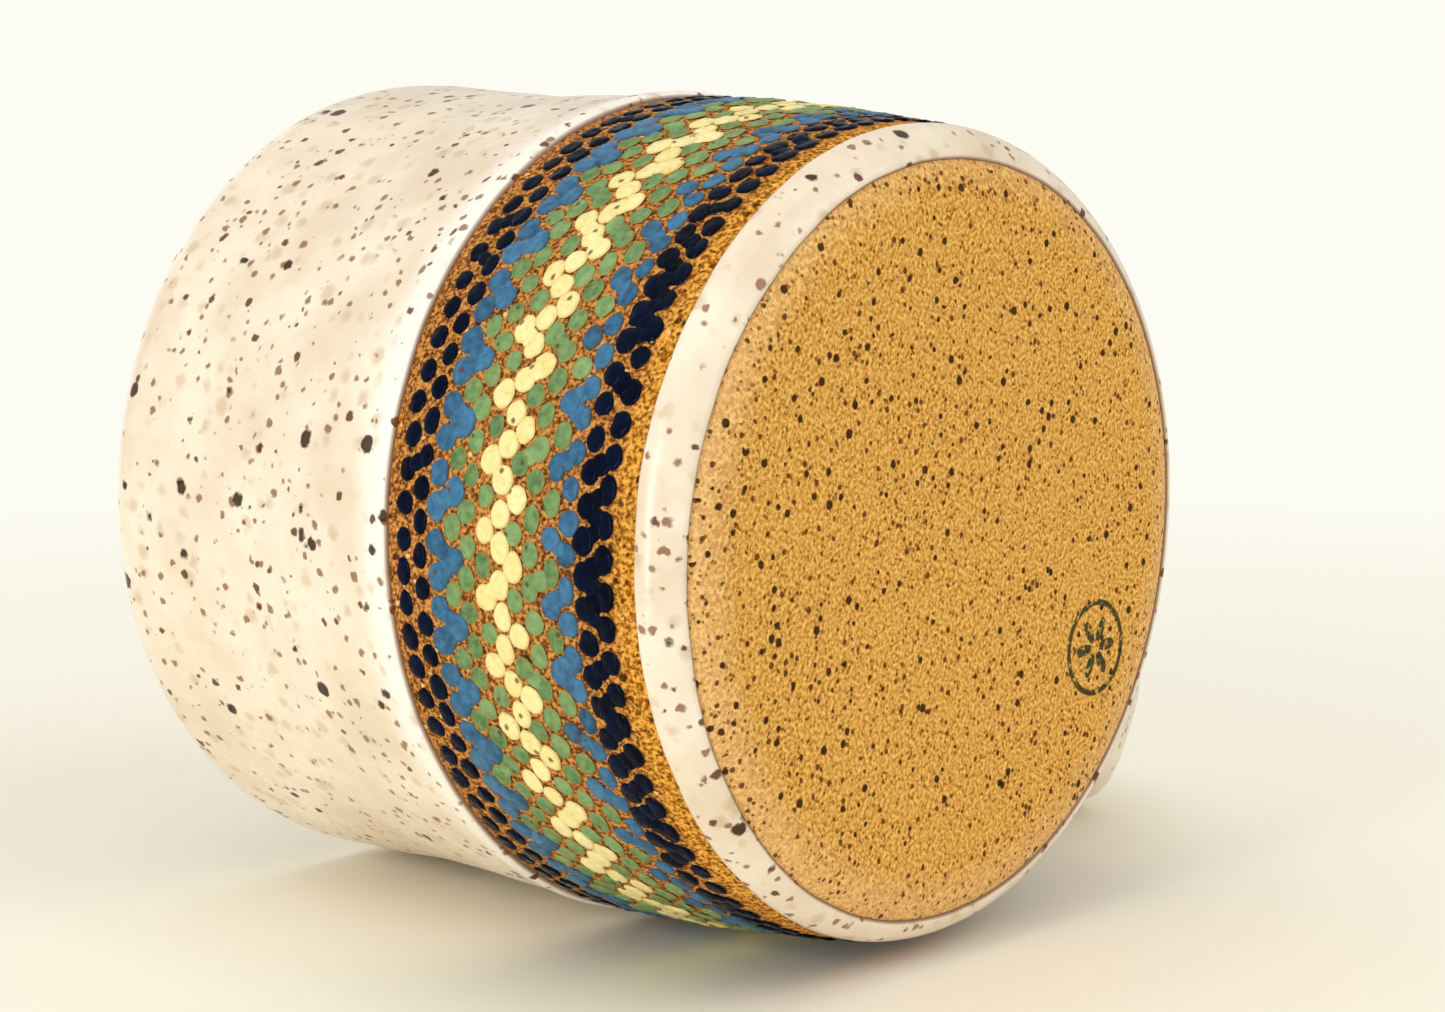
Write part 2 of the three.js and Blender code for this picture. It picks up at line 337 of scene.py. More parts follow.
# %% Handle
HANDLE_STEP = 0.8  # distance between rings of the strap
handle_line = smooth_line(
    [
        # distance from axis, height, half width, half thickness
        (41.5, 65.0, 12.6, 5.4), (46, 65.9, 12.2, 5.2), (52, 66.5, 11.4, 4.8), (64, 64.5, 10.8, 4.4),
        (75, 56, 10.5, 4.2), (79.8, 40.5, 10.2, 4.1), (75.6, 29, 9.9, 4.0), (65, 23.6, 10.0, 4.0),
        (52, 20.7, 10.4, 4.1), (46, 20.2, 10.8, 4.4), (41.5, 20.1, 11.2, 4.7),
    ],
    HANDLE_STEP,
)
handle_count = np.arange(len(handle_line))
last_place = len(handle_line) - 1
STRAP_ROUND = 56  # points round the strap
STRAP_SQUARE = 2.8  # exponent of its rounded section; 2 is an ellipse
JOINT_DEPTH = 42.6  # the ends of the handle stop this far from the axis, inside the wall
SWELL, SWELL_START, SWELL_FADE = 3.2, 44.6, 2.0  # the swelling where the strap joins the wall
strap_angles = np.linspace(0, 2 * math.pi, STRAP_ROUND, endpoint=False)


def rounded(value):
    """A cosine or sine pressed towards the corners of a square."""
    return np.sign(value) * np.abs(value) ** (2 / STRAP_SQUARE)


def strap_ring(place, grow):
    """One ring of the strap at a fractional index along the handle line, grown by a coat."""
    behind, here, ahead = [
        np.array([np.interp(p, handle_count, column) for column in handle_line.T])
        for p in (max(place - 1, 0), place, min(place + 1, last_place))
    ]
    y, z, half_width, half_thick = here
    step = (ahead - behind)[:2]
    length = math.hypot(*step)
    across = (step[1] / length, -step[0] / length)
    joined = SWELL * math.exp(-max(y - SWELL_START, 0) / SWELL_FADE)
    hand = 0.25 * math.sin(place / 9.0)  # the unevenness of a pulled strap
    wide = (half_width + grow + joined + hand) * rounded(np.cos(strap_angles))
    thick = (half_thick + grow + joined * 0.8 - hand * 0.3) * rounded(np.sin(strap_angles))
    out = y + across[0] * thick
    # the ends follow the round wall and stay inside it
    out = np.maximum(out, np.sqrt(JOINT_DEPTH**2 - np.clip(wide, -30, 30) ** 2))
    return np.stack([wide, out, z + across[1] * thick], -1)


ends = [[[0, JOINT_DEPTH, z]] * STRAP_ROUND for z in (handle_line[0][1], handle_line[-1][1])]
handle = shell("pulled_handle", np.array(
    [ends[0]] + [strap_ring(p, 0) for p in range(last_place + 1)] + [ends[1]]
))

# %% Handle glaze
COLLAR = 48.6  # the sleeve stops this far from the axis at the lower joint
ROLL_STEPS = 3  # its rounded edge takes up this many steps of the handle line
ROLL_SWELL = 1.3  # and starts this many times as thick as the coat
bare_from = next(i for i in range(last_place, 0, -1) if handle_line[i][0] > COLLAR)
roll_from = bare_from - ROLL_STEPS
sleeve = [(p, COAT) for p in range(roll_from)]
for turn in np.linspace(0, math.pi / 2, 9):
    sleeve.append((roll_from + ROLL_STEPS * math.sin(turn), COAT * ROLL_SWELL * math.cos(turn)))
sleeve += [(p, -DIP) for p in range(bare_from, -1, -1)]
sleeve_rings = np.array([strap_ring(p, g) for p, g in sleeve])
sleeve_edge = np.repeat([[(bare_from - p) * HANDLE_STEP] for p, g in sleeve], STRAP_ROUND, axis=1)
handle_glaze = shell("handle_glaze_coat", sleeve_rings, loop=True, from_edge=sleeve_edge)

# %% [markdown]
# ## Slip dots
# Slip is liquid coloured clay, trailed from a fine nozzle. Each touch leaves a low round button; two
# that are laid too close run together. The maker works round the mug in columns of dots, and shifts
# the colours up and down one column at a time, which draws the zigzags. Geometry Nodes suit this: the
# script only says where the dots sit and which neighbours ran together (points and edges), and one
# tree drops each point on the clay, lays a button on it with its own size and turn, and bridges edges.

# %% Where the dots go
HALF_STEPS = 168  # half steps round the mug; neighbours along a zigzag are one half step apart
TOP_COLUMN, COLUMN_PITCH = 34.4, 2.15  # height of the first column and distance between columns
COLUMN_SHIFT = (0.1, -0.25, -0.4, -0.35, -0.1, -0.25, -0.1, 0.15, 0.2, 0.05, 0.2, 0.25, 0.0)
STAIR = (0, 1, 0, -1)  # the zigzag: how many columns each half step is moved
JOINT_ANGLE = 0.31  # no dots this near the handle, in radians, between these two heights
JOINT_BOTTOM, JOINT_TOP = 13.0, 27.5
ROW_LIFT = 0.05  # the points start this far outside the clay
DOT_RISE, DOT_UNEVENNESS = 0.26, 0.16  # height of a button, and how far a dot strays from its place


def column_height(column):
    """Height of a column of dots, with the small shifts of a hand that lays it."""
    return TOP_COLUMN - COLUMN_PITCH * column + COLUMN_SHIFT[column]


def wall_radius(height):
    """Radius of the clay's outer face at a height."""
    return float(np.interp(height, clay_line[:wall_top, 1], clay_line[:wall_top, 0]))


def dot_row(name, column_of, run_chance, seed):
    """Points and edges of one row: column_of gives the column at a half step, or None for no dot."""
    draw = random.Random(seed)
    verts, edges, last = [], [], None
    for step in range(HALF_STEPS):
        column = column_of(step)
        if column is None:
            last = None
            continue
        angle, height = step * 2 * math.pi / HALF_STEPS, column_height(column)
        near_handle = abs(math.atan2(math.cos(angle), math.sin(angle))) < JOINT_ANGLE
        if near_handle and JOINT_BOTTOM < height < JOINT_TOP:
            last = None
            continue
        radius = wall_radius(height) + ROW_LIFT
        verts.append((radius * math.cos(angle) * MM, radius * math.sin(angle) * MM, height * MM))
        if last is not None and draw.random() < run_chance:
            edges.append((last, len(verts) - 1))
        last = len(verts) - 1
    mesh = bpy.data.meshes.new(name)
    mesh.from_pydata(verts, edges, [])
    print(name, len(verts), "dots,", len(edges), "run together")
    return add_object(name, mesh)


# %% The dot tree
BUTTON_CUT = -0.2  # a button is the part of a unit sphere above this height
BUTTON_PRESS = 0.62  # exponent on its height; 1 leaves it round, less makes its top flatter
RAGGED_GRAIN, RAGGED_DEPTH = 1.25, 0.5  # outlines wander in patches this wide, this far
dots = bpy.data.node_groups.new("slip_dots", "GeometryNodeTree")
face = dots.interface
face.new_socket("Row", in_out="INPUT", socket_type="NodeSocketGeometry")
for label, kind in (
    ("Clay", "Object"), ("Slip", "Material"), ("Width up", "Float"), ("Width round", "Float"),
    ("Rise", "Float"), ("Unevenness", "Float"), ("Seed", "Int"),
):
    face.new_socket(label, in_out="INPUT", socket_type="NodeSocket" + kind)
face.new_socket("Dots", in_out="OUTPUT", socket_type="NodeSocketGeometry")
given = put(dots, "NodeGroupInput").outputs
clay = put(dots, "GeometryNodeObjectInfo", {"Object": given["Clay"]}).outputs["Geometry"]

# a button: a sphere's upper part, pressed to a flat top
button = put(dots, "GeometryNodeMeshUVSphere", {"Segments": 14, "Rings": 8, "Radius": 1.0})
where = put(dots, "GeometryNodeInputPosition")
split = put(dots, "ShaderNodeSeparateXYZ", {0: where}).outputs
low = put(dots, "ShaderNodeMath", {0: split["Z"], 1: BUTTON_CUT}, operation="LESS_THAN")
button = put(dots, "GeometryNodeDeleteGeometry", {0: button.outputs["Mesh"], 1: low})
lift = put(dots, "ShaderNodeMath", {0: split["Z"], 1: 0.0}, operation="MAXIMUM")
lift = put(dots, "ShaderNodeMath", {0: lift, 1: BUTTON_PRESS}, operation="POWER")
below = put(dots, "ShaderNodeMath", {0: split["Z"], 1: 0.0}, operation="MINIMUM")
lift = put(dots, "ShaderNodeMath", {0: lift, 1: below}, operation="ADD")
pressed = put(dots, "ShaderNodeCombineXYZ", {0: split["X"], 1: split["Y"], 2: lift})
button = put(dots, "GeometryNodeSetPosition", {"Geometry": button, "Position": pressed})
button = put(
    dots, "GeometryNodeStoreNamedAttribute",
    {"Geometry": button, "Name": "dot_place", "Value": where},
    data_type="FLOAT_VECTOR", domain="POINT",
)


def lay_buttons(points, along, size):
    """Drops points on the clay and lays a button on each: its X goes along, its Z stands out."""
    near = put(dots, "GeometryNodeProximity", {0: clay}, target_element="FACES")
    points = put(
        dots, "GeometryNodeSetPosition", {"Geometry": points, "Position": near.outputs["Position"]}
    )
    sample = put(
        dots, "GeometryNodeSampleNearestSurface",
        {"Mesh": clay, "Value": put(dots, "GeometryNodeInputNormal")}, data_type="FLOAT_VECTOR",
    )
    turn = put(dots, "FunctionNodeAlignRotationToVector", {"Vector": along}, axis="X")
    turn = put(
        dots, "FunctionNodeAlignRotationToVector", {"Rotation": turn, "Vector": sample},
        axis="Z", pivot_axis="X",
    )
    return put(
        dots, "GeometryNodeInstanceOnPoints",
        {"Points": points, "Instance": button, "Rotation": turn, "Scale": size},
    )


def chance(low_value, high_value, offset):
    """A random vector between two, with the row's seed plus an offset."""
    seed = put(dots, "ShaderNodeMath", {0: given["Seed"], 1: offset}, operation="ADD")
    return put(
        dots, "FunctionNodeRandomValue", {"Min": low_value, "Max": high_value, "Seed": seed},
        data_type="FLOAT_VECTOR",
    )


half = put(
    dots, "ShaderNodeCombineXYZ", {0: given["Width up"], 1: given["Width round"], 2: given["Rise"]}
)
half = put(dots, "ShaderNodeVectorMath", {0: half, 1: (0.5, 0.5, 1.0)}, operation="MULTIPLY")
nudge = put(
    dots, "ShaderNodeVectorMath",
    {0: chance((-1, -1, -1), (1, 1, 1), 1), "Scale": given["Unevenness"]}, operation="SCALE",
)
uneven = put(dots, "GeometryNodeSetPosition", {"Geometry": given["Row"], "Offset": nudge})
single_size = put(
    dots, "ShaderNodeVectorMath",
    {0: half, 1: chance((0.88, 0.9, 0.85), (1.1, 1.12, 1.15), 2)}, operation="MULTIPLY",
)
singles = lay_buttons(uneven, (0, 0, 1), single_size)

# bridges: one button stretched along each edge
ends = put(dots, "GeometryNodeInputMeshEdgeVertices").outputs
reach = put(
    dots, "ShaderNodeVectorMath", {0: ends["Position 2"], 1: ends["Position 1"]},
    operation="SUBTRACT",
)
marked = put(
    dots, "GeometryNodeStoreNamedAttribute",
    {"Geometry": uneven, "Name": "reach", "Value": reach}, data_type="FLOAT_VECTOR", domain="EDGE",
)
middles = put(dots, "GeometryNodeMeshToPoints", {"Mesh": marked}, mode="EDGES")
reach = put(dots, "GeometryNodeInputNamedAttribute", {"Name": "reach"}, data_type="FLOAT_VECTOR")
bridge_size = put(
    dots, "ShaderNodeVectorMath", {0: half, 1: (1.05, 0.78, 0.93)}, operation="MULTIPLY"
)
bridge_size = put(
    dots, "ShaderNodeVectorMath",
    {0: bridge_size, 1: chance((0.95, 0.8, 0.98), (1.05, 1.1, 1.0), 5)}, operation="MULTIPLY",
)
bridges = lay_buttons(middles, reach, bridge_size)
both = put(dots, "GeometryNodeJoinGeometry")
for laid in (bridges, singles):
    dots.links.new(laid.outputs[0], both.inputs[0])
both = put(
    dots, "GeometryNodeStoreNamedAttribute",
    {"Geometry": both, "Name": "dot_chance", "Value": chance((0, 0, 0), (1, 1, 1), 9)},
    data_type="FLOAT_VECTOR", domain="INSTANCE",
)
real = put(dots, "GeometryNodeRealizeInstances", {0: both})
ragged = put(
    dots, "ShaderNodeTexNoise", {"Vector": where, "Scale": 1000 / RAGGED_GRAIN, "Detail": 2.0}
)
ragged = put(
    dots, "ShaderNodeVectorMath", {0: ragged.outputs["Color"], 1: (0.5, 0.5, 0.5)},
    operation="SUBTRACT",
)
ragged = put(
    dots, "ShaderNodeVectorMath", {0: ragged, "Scale": RAGGED_DEPTH * MM}, operation="SCALE"
)
real = put(dots, "GeometryNodeSetPosition", {"Geometry": real, "Offset": ragged})
smooth = put(dots, "GeometryNodeSetShadeSmooth", {0: real})
slip = put(dots, "GeometryNodeSetMaterial", {0: smooth, "Material": given["Slip"]})
put(dots, "NodeGroupOutput", {0: slip})
print("dot tree has", len(dots.nodes), "nodes")

# %% [markdown]
# ## Finishes
# Stoneware clay fires to a toasted brown where it is bare, full of fine sand and dark iron specks.
# The same iron melts up through the cream glaze as brown freckles with soft halos. Both are the same
# pattern at different sizes: cells of a Voronoi texture, each with its own chance of holding a speck.

# %% Speckle and grain patterns


def wandering(tree, place, wander, grain):
    """The place pushed about by a noise, so that round specks become irregular. Millimetres."""
    noise = put(tree, "ShaderNodeTexNoise", {"Vector": place, "Scale": 1000 / grain, "Detail": 2.0})
    shift = put(tree, "ShaderNodeVectorMath", {0: noise.outputs["Color"], 1: (0.5, 0.5, 0.5)},
                operation="SUBTRACT")
    shift = put(tree, "ShaderNodeVectorMath", {0: shift, "Scale": wander * MM}, operation="SCALE")
    return put(tree, "ShaderNodeVectorMath", {0: place, 1: shift})


def specks(tree, place, spacing, radius, share, soft, offset, strength=1.0):
    """From 0 to strength inside a speck. Spacing, radius and soft edge are in millimetres."""
    moved = put(tree, "ShaderNodeVectorMath", {0: place, 1: (offset, offset, offset)})
    cells = put(tree, "ShaderNodeTexVoronoi", {"Vector": moved, "Scale": 1000 / spacing})
    odds = put(tree, "ShaderNodeSeparateColor", {0: cells.outputs["Color"]})
    size = put(tree, "ShaderNodeMapRange", {0: odds, 1: 1 - share, 2: 1.0, 3: -0.2, 4: radius / spacing})
    inside = put(tree, "ShaderNodeMath", {0: size, 1: cells.outputs["Distance"]}, operation="SUBTRACT")
    edge = soft / spacing
    return put(tree, "ShaderNodeMapRange", {0: inside, 1: -edge, 2: edge, 4: strength})


def cloudy(tree, place, grain, detail=2.0, low=0.3, high=0.7, strength=1.0):
    """Noise with a grain in millimetres, stretched so that low to high becomes 0 to strength."""
    noise = put(tree, "ShaderNodeTexNoise", {"Vector": place, "Scale": 1000 / grain, "Detail": detail})
    return put(tree, "ShaderNodeMapRange", {0: noise, 1: low, 2: high, 4: strength})


def new_material(name):
    """A material, its tree, its shader and the place on the piece that its patterns use."""
    material = bpy.data.materials.new(name)
    material.use_nodes = True
    tree = material.node_tree
    place = put(tree, "ShaderNodeTexCoord").outputs["Object"]
    return material, tree, tree.nodes["Principled BSDF"], place


def finish_shader(tree, shader, colour, height, depth):
    """Links the colour, and a height from 0 to 1 as a bump with a depth in millimetres."""
    relief = put(tree, "ShaderNodeBump", {"Height": height, "Distance": depth * MM, "Strength": 0.8})
    tree.links.new(relief.outputs[0], shader.inputs["Normal"])
    tree.links.new(colour.outputs["Result"], shader.inputs["Base Color"])


# %% [markdown]
# Glazed stoneware: a cream glaze, satin to the eye. It is warm beige where it is thin and near white
# in the thick roll at its edge, which on the outside coats is partly a painted highlight. Iron specks
# melt up through it as freckles: pale halos, brown freckles and a few black-brown blots, each a layer
# of cells. Glass-like IOR, roughness about 0.3.

# %% Glazed stoneware


def glazed_stoneware(name, roll_white_and_highlight):
    """A glaze finish; the last argument whitens the thick roll at an edge: thicker glaze and painted
    highlight.
    """
    material, tree, shader, place = new_material(name)
    irregular = wandering(tree, place, 0.85, 0.9)
    height = put(tree, "ShaderNodeSeparateXYZ", {0: place}).outputs["Z"]
    edge = put(tree, "ShaderNodeAttribute", attribute_name="from_edge").outputs["Fac"]
    fine = cloudy(tree, place, 1.6, 3.0, 0.4, 0.75, 0.22)
    blots = specks(tree, irregular, 3.2, 1.0, 0.6, 0.12, 0.053, 0.95)
    rusty = specks(tree, irregular, 1.9, 0.6, 0.5, 0.08, 0.083, 0.92)
    colour = put(tree, "ShaderNodeMix", {
        0: cloudy(tree, place, 11.0, 3.0, 0.35, 0.65), 6: linear("#E5D2B7"), 7: linear("#F4E7D0"),
    }, data_type="RGBA")
    for share, laid_over in (
        (fine, "#DAC4A6"),
        # painted highlight: the thick roll at an edge is whitened, partly for its thicker glaze
        (put(tree, "ShaderNodeMapRange", {0: edge, 1: 5.5, 2: 2.2, 4: roll_white_and_highlight}), "#FFF8EC"),
        (put(tree, "ShaderNodeMapRange", {0: height, 1: 82.2 * MM, 2: 82.8 * MM, 4: 0.45}), "#B98F60"),
        (specks(tree, irregular, 2.2, 1.0, 0.75, 0.35, 0.031, 0.42), "#BC9865"),
        (specks(tree, irregular, 1.35, 0.56, 0.66, 0.10, 0.017, 0.85), "#84501A"),
        (rusty, "#5E2E06"),
        (blots, "#341A06"),
        (put(tree, "ShaderNodeMapRange", {0: edge, 1: 0.25, 2: 0.06, 4: 0.9}), "#74420A"),
    ):
        colour = put(tree, "ShaderNodeMix", {0: share, 6: colour, 7: linear(laid_over)}, data_type="RGBA")
    rough = put(tree, "ShaderNodeMapRange", {0: fine, 2: 0.22, 3: 0.2, 4: 0.32})
    dark = put(tree, "ShaderNodeMath", {0: rusty, 1: blots}, operation="MAXIMUM")
    gloss = put(tree, "ShaderNodeMapRange", {0: dark, 3: 0.5, 4: 0.08})  # iron specks are duller
    tree.links.new(rough.outputs["Result"], shader.inputs["Roughness"])
    tree.links.new(gloss.outputs["Result"], shader.inputs["Specular IOR Level"])
    shader.inputs["IOR"].default_value = 1.5
    ripple = cloudy(tree, place, 4.0, 2.0, 0.2, 0.8)
    pitted = put(tree, "ShaderNodeMath", {0: blots, 1: -0.4, 2: ripple}, operation="MULTIPLY_ADD")
    finish_shader(tree, shader, colour, pitted, 0.12)
    return material


outer_finish = glazed_stoneware("glazed stoneware, outside", 0.8)
plain_finish = glazed_stoneware("glazed stoneware", 0.0)
for piece, finish in (
    (upper_glaze, outer_finish), (foot_glaze_ring, plain_finish),
    (liner_glaze, plain_finish), (handle_glaze, outer_finish),
):
    piece.data.materials.append(finish)

# %% [markdown]
# Bare stoneware: dry, sandy and matt, so roughness is near 0.9. Grains of sand and iron make it
# gritty at every size. The band fired darker and redder than the flat underside, which the kiln
# shelf shielded and left tan. Under the foot a small six-petalled flower is stamped in green ink.

# %% Bare stoneware
clay_finish, tree, shader, place = new_material("bare stoneware")
irregular = wandering(tree, place, 0.3, 0.5)
parts = put(tree, "ShaderNodeSeparateXYZ", {0: place}).outputs
flat_place = put(tree, "ShaderNodeCombineXYZ", {0: parts["X"], 1: parts["Y"]})
radius = put(tree, "ShaderNodeVectorMath", {0: flat_place}, operation="LENGTH")
sand = cloudy(tree, place, 0.42, 2.0, 0.38, 0.62)
coarse = cloudy(tree, place, 1.1, 2.0, 0.35, 0.65, 0.35)
grains = specks(tree, irregular, 0.58, 0.24, 0.9, 0.05, 0.023, 0.85)

tan = put(tree, "ShaderNodeMix", {0: sand, 6: linear("#BE7C1C"), 7: linear("#FFCC70")}, data_type="RGBA")
for share, laid_over in (
    (coarse, "#E0A850"),
    (put(tree, "ShaderNodeMapRange", {0: radius, 1: 34.5 * MM, 2: 38.5 * MM, 4: 0.35}), "#F2CC9A"),
    (grains, "#8A4E10"),
    (specks(tree, irregular, 0.95, 0.36, 0.9, 0.05, 0.061, 0.9), "#582C04"),
    (specks(tree, irregular, 1.45, 0.5, 0.85, 0.06, 0.011, 0.95), "#301402"),
):
    tan = put(tree, "ShaderNodeMix", {0: share, 6: tan, 7: linear(laid_over)}, data_type="RGBA")

toasted, golden = [
    put(tree, "ShaderNodeMix", {0: sand, 6: linear(dark), 7: linear(light)}, data_type="RGBA")
    for dark, light in (("#683608", "#D8944A"), ("#8A4E00", "#F4B048"))
]
strip = put(tree, "ShaderNodeMapRange", {0: parts["Z"], 1: 8.6 * MM, 2: 6.4 * MM})
band = put(tree, "ShaderNodeMix", {0: strip, 6: toasted, 7: golden}, data_type="RGBA")
for share, laid_over in (
    (grains, "#482204"),
    (specks(tree, irregular, 1.3, 0.45, 0.7, 0.06, 0.041, 0.85), "#301804"),
    (specks(tree, irregular, 1.1, 0.3, 0.5, 0.05, 0.097, 0.8), "#FFD08A"),
):
    band = put(tree, "ShaderNodeMix", {0: share, 6: band, 7: linear(laid_over)}, data_type="RGBA")

wall = put(tree, "ShaderNodeMapRange", {0: parts["Z"], 1: 1.4 * MM, 2: 1.8 * MM})
colour = put(tree, "ShaderNodeMix", {0: wall, 6: tan, 7: band}, data_type="RGBA")

# %% [markdown]
# The stamped flower is drawn in polar form round its own centre: the cosine of three times the angle
# gives six petals, and a hoop closes it. Ink wears off the high sand grains, so a noise thins it.

# %% Stamped flower
MARK_CENTRE = (-2.5, 29.0, 0.0)  # millimetres from the middle of the underside
MARK_RADIUS = 5.0
INK = "#17341F"
marked = put(tree, "ShaderNodeVectorMath", {0: flat_place, 1: [m * MM for m in MARK_CENTRE]},
             operation="SUBTRACT")
mark_parts = put(tree, "ShaderNodeSeparateXYZ", {0: marked}).outputs
from_mark = put(tree, "ShaderNodeVectorMath", {0: marked}, operation="LENGTH")
turned = put(tree, "ShaderNodeMath", {0: mark_parts["Y"], 1: mark_parts["X"]}, operation="ARCTAN2")
turned = put(tree, "ShaderNodeMath", {0: turned, 1: 3.0}, operation="MULTIPLY")
petal = put(tree, "ShaderNodeMath", {0: turned}, operation="COSINE")
petal = put(tree, "ShaderNodeMath", {0: petal}, operation="ABSOLUTE")
petal = put(tree, "ShaderNodeMath", {0: petal, 1: MARK_RADIUS * 0.72 * MM}, operation="MULTIPLY")
petal = put(tree, "ShaderNodeMath", {0: petal, 1: from_mark}, operation="SUBTRACT")
petals = put(tree, "ShaderNodeMapRange", {0: petal, 1: -0.05 * MM, 2: 0.1 * MM})
heart = put(tree, "ShaderNodeMapRange", {0: from_mark, 1: 0.7 * MM, 2: 0.9 * MM})
petals = put(tree, "ShaderNodeMath", {0: petals, 1: heart}, operation="MULTIPLY")
hoop = put(tree, "ShaderNodeMath", {0: from_mark, 1: MARK_RADIUS * MM}, operation="SUBTRACT")
hoop = put(tree, "ShaderNodeMath", {0: hoop}, operation="ABSOLUTE")
hoop = put(tree, "ShaderNodeMapRange", {0: hoop, 1: 0.42 * MM, 2: 0.26 * MM})
ink = put(tree, "ShaderNodeMath", {0: petals, 1: hoop}, operation="MAXIMUM")
below_foot = put(tree, "ShaderNodeMapRange", {0: parts["Z"], 1: 0.3 * MM, 2: 0.2 * MM, 4: 0.92})
ink = put(tree, "ShaderNodeMath", {0: ink, 1: below_foot}, operation="MULTIPLY")
worn = cloudy(tree, place, 0.8, 3.0, 0.32, 0.46)
ink = put(tree, "ShaderNodeMath", {0: ink, 1: worn}, operation="MULTIPLY")
colour = put(tree, "ShaderNodeMix", {0: ink, 6: colour, 7: linear(INK)}, data_type="RGBA")

grit = put(tree, "ShaderNodeMath", {0: sand, 1: coarse})
finish_shader(tree, shader, colour, grit, 0.10)
shader.inputs["Roughness"].default_value = 0.9
shader.inputs["IOR"].default_value = 1.45
shader.inputs["Specular IOR Level"].default_value = 0.15
for piece in (clay_body, handle):
    piece.data.materials.append(clay_finish)

# %% [markdown]
# Coloured slip: clay with metal oxides under a thin clear glaze. It is thinner at a dot's edge and in
# patches, so the clay shows through there, and some dots keep a brown pinhole where a bubble burst.
# Each dot has its own tone from the dot_chance attribute, and dot_place says where on it a point is.

# %% Slip


def slip_finish(name, deep, light, edge, rough, gloss, edge_share, pinholes):
    """A slip from deep to light. edge shows through by edge_share, pinholes is the share of dots
    with one."""
    material, tree, shader, place = new_material(name)
    in_dot = put(tree, "ShaderNodeAttribute", attribute_name="dot_place").outputs["Vector"]
    chances = put(tree, "ShaderNodeAttribute", attribute_name="dot_chance").outputs["Vector"]
    chance_parts = put(tree, "ShaderNodeSeparateXYZ", {0: chances}).outputs
    in_parts = put(tree, "ShaderNodeSeparateXYZ", {0: in_dot}).outputs
    flat = put(tree, "ShaderNodeCombineXYZ", {0: in_parts["X"], 1: in_parts["Y"]})
    from_middle = put(tree, "ShaderNodeVectorMath", {0: flat}, operation="LENGTH")

    cloud = cloudy(tree, place, 0.9, 3.0, 0.3, 0.7, 0.55)
    tone = put(tree, "ShaderNodeMath", {0: chance_parts["X"], 1: 0.45, 2: cloud},
               operation="MULTIPLY_ADD")
    rim = put(tree, "ShaderNodeMapRange", {0: from_middle, 1: 0.8, 2: 0.98, 4: edge_share})
    worn = cloudy(tree, place, 0.6, 3.0, 0.56, 0.74, edge_share)
    middle = put(tree, "ShaderNodeVectorMath", {0: chances, 1: (0.5, 0.5, 0.5)}, operation="SUBTRACT")
    middle = put(tree, "ShaderNodeVectorMath", {0: middle, 1: (1.3, 1.3, 0)}, operation="MULTIPLY")
    gap = put(tree, "ShaderNodeVectorMath", {0: flat, 1: middle}, operation="DISTANCE")
    hole = put(tree, "ShaderNodeMapRange", {0: gap, 1: 0.28, 2: 0.14, 4: 0.85})
    has_hole = put(tree, "ShaderNodeMath", {0: chance_parts["Z"], 1: 1 - pinholes},
                   operation="GREATER_THAN")
    hole = put(tree, "ShaderNodeMath", {0: hole, 1: has_hole}, operation="MULTIPLY")
    colour = put(tree, "ShaderNodeMix", {0: tone, 6: linear(deep), 7: linear(light)}, data_type="RGBA")
    for share, laid_over in ((worn, edge), (rim, edge), (hole, "#5C3C14")):
        colour = put(tree, "ShaderNodeMix", {0: share, 6: colour, 7: linear(laid_over)}, data_type="RGBA")
    finish_shader(tree, shader, colour, cloud, 0.05)
    shader.inputs["Roughness"].default_value = rough
    shader.inputs["IOR"].default_value = 1.5
    shader.inputs["Specular IOR Level"].default_value = gloss
    return material


navy = slip_finish("navy slip", "#000104", "#061430", "#0A0C14", 0.15, 0.05, 0.4, 0)
blue = slip_finish("blue slip", "#123F60", "#4882A8", "#3C5A68", 0.35, 0.2, 0.4, 0.08)
green = slip_finish("green slip", "#3E6634", "#8CAE70", "#A0944E", 0.4, 0.2, 0.6, 0.15)
yellow = slip_finish("yellow slip", "#E8D684", "#FAEFB2", "#CCA85C", 0.4, 0.2, 0.45, 0.35)

# %% Rows of dots
ROWS = (
    # name, slip, column at a half step, chance to run together, widths up and round, seed
    ("navy_dots_upper", navy, lambda s: s % 2, 0.04, 2.2, 2.6, 21),
    ("blue_dots_upper", blue, lambda s: None if s % 4 == 3 else 2 + s % 2, 0.95, 2.7, 2.9, 22),
    ("green_dots_upper", green, lambda s: 4 + STAIR[s % 4], 0.1, 2.25, 2.5, 23),
    ("yellow_dots", yellow, lambda s: 6 + STAIR[s % 4], 0.2, 2.75, 2.95, 24),
    ("green_dots_lower", green, lambda s: 8 + STAIR[s % 4], 0.1, 2.3, 2.6, 25),
    ("blue_dots_lower", blue, lambda s: None if s % 4 == 1 else 10 + STAIR[s % 4], 0.5, 2.35, 2.6, 26),
    ("navy_dots_lower", navy, lambda s: 12 - s % 2, 0.5, 2.45, 2.7, 27),
)
sockets = {s.name: s.identifier for s in dots.interface.items_tree if s.in_out == "INPUT"}
dot_pieces = {}
for name, slip_material, column_of, run_chance, up, round_, seed in ROWS:
    row = dot_row(name + "_points", column_of, run_chance, seed)
    tool = row.modifiers.new("dots", "NODES")
    tool.node_group = dots
    for label, value in (
        ("Clay", clay_body), ("Slip", slip_material), ("Width up", up * MM),
        ("Width round", round_ * MM), ("Rise", DOT_RISE * MM),
        ("Unevenness", DOT_UNEVENNESS * MM), ("Seed", seed),
    ):
        tool[sockets[label]] = value
    ready = row.evaluated_get(bpy.context.evaluated_depsgraph_get())
    mesh = bpy.data.meshes.new_from_object(ready)
    bpy.data.objects.remove(row)
    dot_pieces[name] = add_object("slip_" + name, mesh)
    print(name, len(mesh.polygons), "faces")

